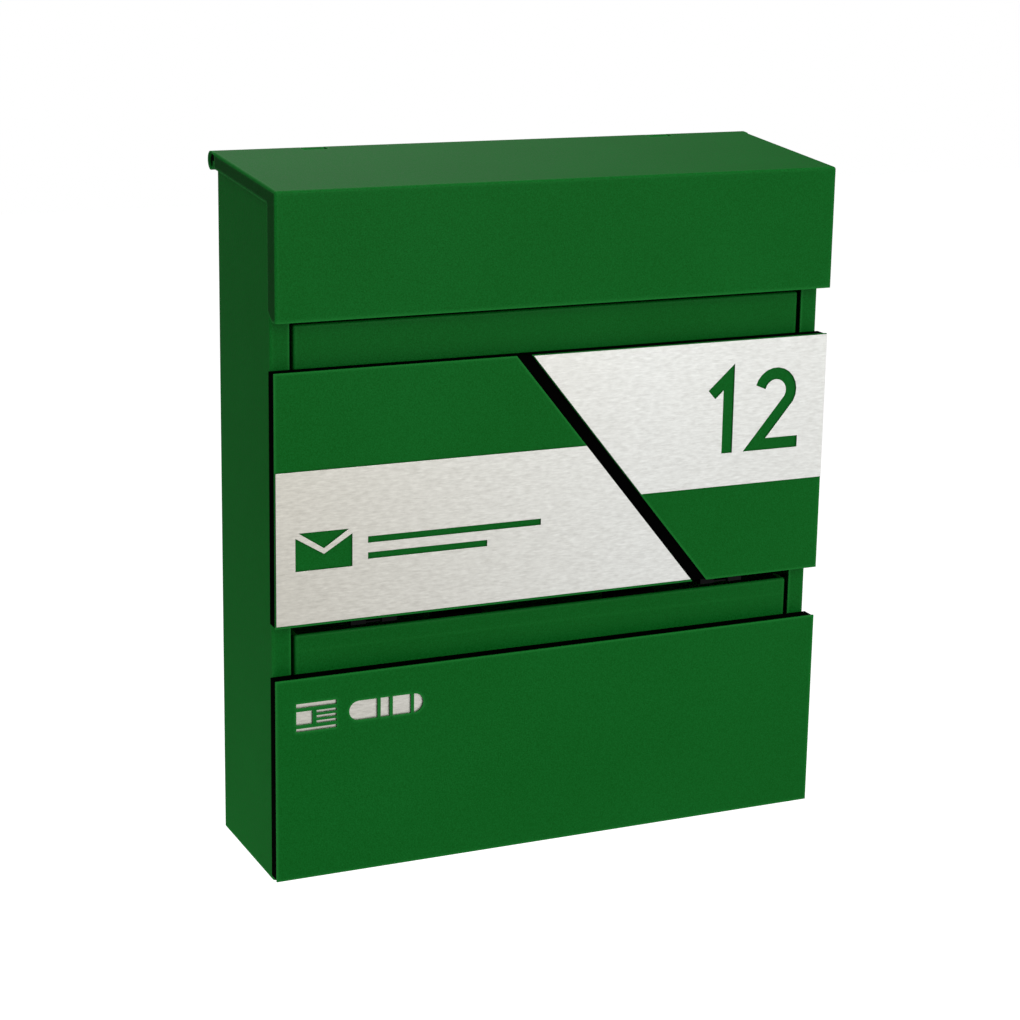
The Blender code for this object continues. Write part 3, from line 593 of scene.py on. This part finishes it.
def makeSidePanel(nodeName):
    kit = bodyForm
    low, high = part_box(nodeName)
    sign = 1 if high.x > 0 else -1
    outer, inner = (high.x, low.x) if sign > 0 else (low.x, high.x)
    rearEdge = outer - sign * kit["rearFlange"]
    plan = [(inner, low.y), (outer, low.y), (outer, high.y), (rearEdge, high.y)]
    mesh = bmesh.new()
    row = [mesh.verts.new((x, y, low.z)) for x, y in plan]
    feet = [mesh.edges.new(pair) for pair in zip(row, row[1:])]
    for tip in pushEdges(mesh, feet, Vector((0, 0, high.z - low.z))):
        tip.co.z = roofHeight(tip.co.y) - kit["topDrop"]
    turnOutwards(mesh, Vector((sign, 0, 0)))
    upright = edgesWhere(mesh, lambda a, b: near(a.x, outer) and near(a.x, b.x) and near(a.y, b.y))
    roundEdges(mesh, upright, kit["bend"])
    finishSheet(nodeName.replace("_panel", "_wall"), mesh, nodeName)


for nodeName in ("left_side_panel", "right_side_panel"):
    makeSidePanel(nodeName)
print("side walls made")


trayForm = {
    "bend": 0.0015,
    "hem": 0.010,  # height of the flat hem along the flap's upper edge
    "hemDepth": 0.002,
    "cornerRoom": 0.0022,  # the hem stops this far from the tray's ends
    "camRoom": (-0.009, 0.028),  # across, for the lock's cam
    "camDepth": (0.0094, 0.0138),  # behind the tray's face
    "camMargin": 0.003,  # cut above and below the folded edge
    "hemMargin": 0.0002,
}


def startTray(low, high):  # a box without its back, with round bends
    mesh = bmesh.new()
    bmesh.ops.create_cube(mesh, size=1.0)
    bmesh.ops.scale(mesh, vec=high - low, verts=mesh.verts)
    bmesh.ops.translate(mesh, vec=(low + high) / 2, verts=mesh.verts)
    back = [face for face in mesh.faces if near(face.calc_center_median().y, high.y)]
    bmesh.ops.delete(mesh, geom=back, context="FACES_ONLY")
    turnOutwards(mesh, Vector((0, -1, 0)))

    def isBend(a, b):
        isFront = near(a.y, low.y) and near(b.y, low.y)
        return isFront or (near(a.x, b.x) and near(a.z, b.z))

    roundEdges(mesh, edgesWhere(mesh, isBend), trayForm["bend"])
    return mesh


def makeMailTray(nodeName):
    low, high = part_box(nodeName)
    mesh = startTray(low, high)
    (left, right), (front, back) = trayForm["camRoom"], trayForm["camDepth"]
    margin = Vector((0, 0, trayForm["camMargin"]))
    roomLow = Vector((left, low.y + front, high.z)) - margin
    roomHigh = Vector((right, low.y + back, high.z)) + margin
    cutWindow(mesh, roomLow, roomHigh)
    finishSheet(nodeName + "_folded", mesh, nodeName)


def makeFlapTray(nodeName):
    low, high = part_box(nodeName)
    mesh = startTray(low, high)
    hemY = low.y + trayForm["hemDepth"]
    reach = high.x - trayForm["cornerRoom"]
    margin = Vector((0, 0, trayForm["hemMargin"]))
    roomLow = Vector((-reach, hemY, high.z)) - margin
    roomHigh = Vector((reach, 1, high.z)) + margin
    cutWindow(mesh, roomLow, roomHigh)

    def isAtHem(point):
        return near(point.y, hemY) and near(point.z, high.z)

    rim = edgesWhere(mesh, lambda a, b: isAtHem(a) and isAtHem(b))
    pushEdges(mesh, [edge for edge in rim if len(edge.link_faces) == 1], Vector((0, 0, -trayForm["hem"])))
    turnOutwards(mesh, Vector((0, -1, 0)))
    finishSheet(nodeName + "_folded", mesh, nodeName)


makeMailTray("mail_door_tray")
makeFlapTray("newspaper_flap_tray")
print("trays made")


edgeWidths = {  # by a word in the node's name; the first that fits counts
    "panel": 0.00022,
    "name_plate": 0.00014,
    "number_plate": 0.00014,
    "board": 0.0003,
    "spacer": 0.0007,
    "buffer": 0.0006,
    "catch": 0.0008,
    "screw": 0.0003,
    "pin": 0.00025,
    "leaf": 0.00012,
}
otherEdgeWidth = 0.00018
flatAngle = math.radians(0.5)  # faces closer than this to one plane become one


def softenNode(nodeName):  # keeps the shape and eases its edges
    mesh = bmesh.new()
    mesh.from_mesh(nodes[nodeName].data)
    bmesh.ops.remove_doubles(mesh, verts=mesh.verts, dist=weldReach)
    bmesh.ops.dissolve_limit(mesh, angle_limit=flatAngle, verts=mesh.verts, edges=mesh.edges)
    widths = [width for word, width in edgeWidths.items() if word in nodeName]
    finishPiece(nodeName + "_eased", mesh, nodeName, (widths + [otherEdgeWidth])[0])


rebuilt = ("lid_shell", "left_side_panel", "right_side_panel", "mail_door_tray", "newspaper_flap_tray")
for nodeName in sorted(nodes):
    if nodeName not in rebuilt:
        softenNode(nodeName)
print("edges eased on", len(nodes) - len(rebuilt), "pieces")


viewKit = {
    "place": (-0.649679, -1.476285, 0.408086),
    "azimuth": math.radians(-24.093),
    "elevation": math.radians(13.943),
    "roll": math.radians(0.869),
    "lens": 88.65,
    "sensor": 36.0,
    "shift": (0.0149, -0.0467),
    "clipStart": 0.01,
}


def makeCamera():
    kit = viewKit
    camera = bpy.data.cameras.new("camera")
    camera.lens = kit["lens"]
    camera.sensor_width = kit["sensor"]
    camera.shift_x, camera.shift_y = kit["shift"]
    camera.clip_start = kit["clipStart"]
    holder = bpy.data.objects.new("camera", camera)
    bpy.context.scene.collection.objects.link(holder)
    turn = Matrix.Rotation(kit["azimuth"], 4, "Z")
    tilt = Matrix.Rotation(math.pi / 2 - kit["elevation"], 4, "X")
    roll = Matrix.Rotation(kit["roll"], 4, "Z")
    holder.matrix_world = Matrix.Translation(kit["place"]) @ turn @ tilt @ roll
    bpy.context.scene.camera = holder


lampKit = {
    "keyLight": {"place": (0.5, -2.6, 0.75), "size": 1.8, "power": 26.0},
    "fillLight": {"place": (-0.48, -0.05, -0.42), "size": 0.22, "power": 0.75},
    "topLight": {"place": (-0.2, 0.1, 1.7), "size": 1.2, "power": 12.0},
}


def makeLamp(name):  # a soft square lamp that looks at the object's origin
    kit = lampKit[name]
    lamp = bpy.data.lights.new(name, "AREA")
    lamp.size = kit["size"]
    lamp.energy = kit["power"]
    holder = bpy.data.objects.new(name, lamp)
    bpy.context.scene.collection.objects.link(holder)
    holder.location = kit["place"]
    holder.rotation_euler = (-Vector(kit["place"])).to_track_quat("-Z", "Y").to_euler()


studioKit = {
    "background": 1.0,  # what the camera sees
    "diffuse": 0.62,  # what lights matt surfaces
    # what gloss mirrors: brightness from and to, over headings from and to
    "ahead": (0.68, 1.20, 0.20, 0.60),
    "behind": (0.66, -0.04, 0.25, 0.60),
    "leftRear": (0.03, 1.0, -0.30, 0.20),
    "turn": (0.0, 1.0, -0.3, 0.3),  # from ahead to behind
}


def makeStudio():
    kit = studioKit
    world = bpy.data.worlds.new("studio")
    bpy.context.scene.world = world
    world.use_nodes = True
    tree = world.node_tree
    tree.nodes.clear()
    direction = addNode(tree, "ShaderNodeTexCoord").outputs["Generated"]
    heading = addNode(tree, "ShaderNodeSeparateXYZ", Vector=direction).outputs
    ahead = rescale(tree, heading["X"], *kit["ahead"])
    behind = rescale(tree, heading["X"], *kit["behind"])
    behind = mathNode(tree, "MULTIPLY", behind, rescale(tree, heading["X"], *kit["leftRear"]))
    gloss = mixNumbers(tree, rescale(tree, heading["Y"], *kit["turn"]), ahead, behind)
    path = addNode(tree, "ShaderNodeLightPath").outputs
    light = mixNumbers(tree, path["Is Glossy Ray"], kit["diffuse"], gloss)
    seen = mixNumbers(tree, path["Is Camera Ray"], light, kit["background"])
    background = addNode(tree, "ShaderNodeBackground", Color=(1, 1, 1, 1), Strength=seen)
    output = addNode(tree, "ShaderNodeOutputWorld")
    tree.links.new(background.outputs[0], output.inputs[0])


floorKit = {
    "halfSize": 6.0,
    "drop": 0.5,  # below the object, which hangs on a wall
    "colour": (0.93, 0.93, 0.93, 1.0),
    "glow": 0.45,
    "roughness": 0.9,
}


def makeFloor():
    kit = floorKit
    mesh = bmesh.new()
    bmesh.ops.create_grid(mesh, x_segments=1, y_segments=1, size=kit["halfSize"])
    bmesh.ops.translate(mesh, vec=(0, 0, cadBox[0].z - kit["drop"]), verts=mesh.verts)
    data = bpy.data.meshes.new("floor")
    mesh.to_mesh(data)
    mesh.free()
    material, tree, shader = startMaterial(
        "paleFloor", Roughness=kit["roughness"], Specular_IOR_Level=0.0, Base_Color=kit["colour"],
        Emission_Color=(1.0, 1.0, 1.0, 1.0), Emission_Strength=kit["glow"],
    )
    data.materials.append(material)
    floor = bpy.data.objects.new("floor", data)
    bpy.context.scene.collection.objects.link(floor)
    floor.visible_glossy = False
    floor.visible_diffuse = False


bpy.context.scene.view_settings.view_transform = "Standard"
makeCamera()
for lampName in lampKit:
    makeLamp(lampName)
makeStudio()
makeFloor()
print("camera, light and floor set")
